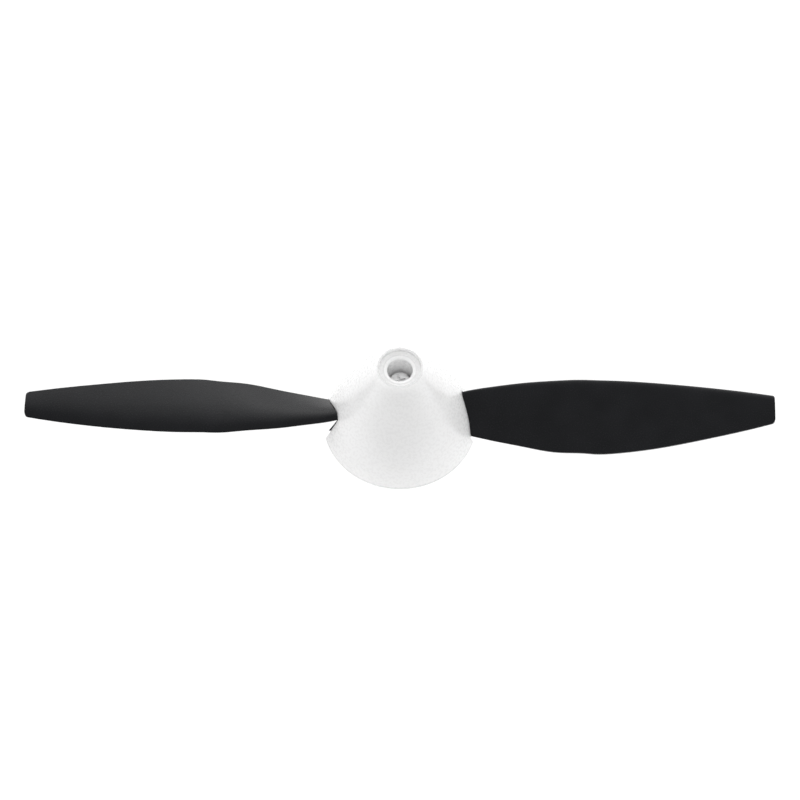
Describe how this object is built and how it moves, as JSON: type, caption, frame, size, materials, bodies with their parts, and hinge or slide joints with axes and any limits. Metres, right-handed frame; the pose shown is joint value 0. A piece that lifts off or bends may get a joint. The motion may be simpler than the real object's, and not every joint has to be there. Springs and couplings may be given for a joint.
{
  "type": "folding propeller with spinner",
  "caption": "Folding propeller for a small model aircraft, with squared-tip moulded blades, a conical slotted spinner, a hinge yoke and a bored motor shaft adapter.",
  "frame": {"origin": "on the spin axis at the rear face of the shaft adapter, level with the spinner's rear rim", "axes": "+Z along the spin axis to the nose, +X along the right blade, +Y by the right-hand rule"},
  "size_m": [0.13, 0.0268, 0.0192],
  "materials": {
    "spinner_plastic": "white moulded plastic, semi-gloss",
    "blade_plastic": "black moulded nylon, satin with a fine grain",
    "yoke_plastic": "black moulded nylon, satin",
    "brass": "turned",
    "steel": "bright zinc plated"
  },
  "bodies": {
    "hub": {"spinner": "spinner_plastic", "blade_yoke": "yoke_plastic", "shaft_adapter": "brass", "yoke_washer": "steel", "yoke_nut": "steel", "spinner_screw": "steel", "screw_washer": "steel", "right_hinge_screw": "steel", "left_hinge_screw": "steel"},
    "blade_right": {"blade_right": "blade_plastic"},
    "blade_left": {"blade_left": "blade_plastic"}
  },
  "joints": [
    {"name": "right_blade_fold", "type": "hinge", "parent": "hub", "child": "blade_right", "pos_m": [0.0076, 0, 0.0034], "axis": [0, 1, 0], "range_deg": [0, 85]},
    {"name": "left_blade_fold", "type": "hinge", "parent": "hub", "child": "blade_left", "pos_m": [-0.0076, 0, 0.0034], "axis": [0, -1, 0], "range_deg": [0, 85]}
  ]
}
